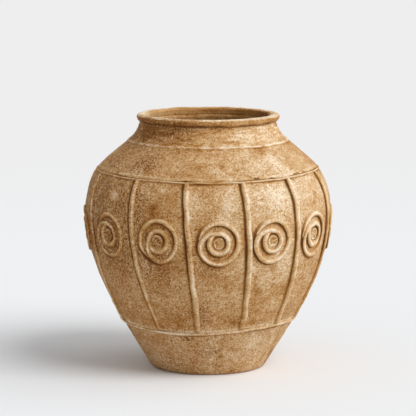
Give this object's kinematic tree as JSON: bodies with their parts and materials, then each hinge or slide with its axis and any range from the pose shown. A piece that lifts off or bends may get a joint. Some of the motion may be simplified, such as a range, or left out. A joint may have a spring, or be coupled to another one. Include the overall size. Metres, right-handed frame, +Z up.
{
  "type": "decorative urn",
  "caption": "Wide-bellied hand-built earthenware urn with a short flared neck, a rolled lip, laid-on ribs and a coiled roundel in each panel of the belly.",
  "frame": {"origin": "centre of the foot ring's underside", "axes": "+Z up along the axis of the turned sections, -Y towards the front of the picture, +X to its right"},
  "size_m": [0.3934, 0.3933, 0.4],
  "materials": {
    "wall": "matte unglazed earthenware, sandy and pitted, cloudy tan to brown",
    "foot": "matte unglazed earthenware, sandy and pitted, browner towards the foot",
    "neck": "matte unglazed earthenware, wiped smooth while wet",
    "lip": "matte unglazed earthenware with a pale rubbed crest",
    "strip": "matte unglazed earthenware with pale rubbed ridges",
    "rib": "matte unglazed earthenware with pale rubbed ridges",
    "coil": "matte unglazed earthenware with pale rubbed ridges",
    "pellet": "matte unglazed earthenware, pressed flat by hand"
  },
  "bodies": {
    "root": {"foot_section": "foot", "belly_section": "wall", "shoulder_section": "wall", "neck_section": "neck", "rim_coil": "lip", "lower_band": "strip", "shoulder_bead": "strip", "shoulder_strip": "strip", "rib_01": "rib", "rib_02": "rib", "rib_03": "rib", "rib_04": "rib", "rib_05": "rib", "rib_06": "rib", "rib_07": "rib", "rib_08": "rib", "rib_09": "rib", "rib_10": "rib", "rib_11": "rib", "rib_12": "rib", "rib_13": "rib", "roundel_coil_01": "coil", "roundel_coil_02": "coil", "roundel_coil_03": "coil", "roundel_coil_04": "coil", "roundel_coil_05": "coil", "roundel_coil_06": "coil", "roundel_coil_07": "coil", "roundel_coil_08": "coil", "roundel_coil_09": "coil", "roundel_coil_10": "coil", "roundel_coil_11": "coil", "roundel_coil_12": "coil", "roundel_coil_13": "coil", "roundel_pellet_01": "pellet", "roundel_pellet_02": "pellet", "roundel_pellet_03": "pellet", "roundel_pellet_04": "pellet", "roundel_pellet_05": "pellet", "roundel_pellet_06": "pellet", "roundel_pellet_07": "pellet", "roundel_pellet_08": "pellet", "roundel_pellet_09": "pellet", "roundel_pellet_10": "pellet", "roundel_pellet_11": "pellet", "roundel_pellet_12": "pellet", "roundel_pellet_13": "pellet"}
  },
  "joints": []
}
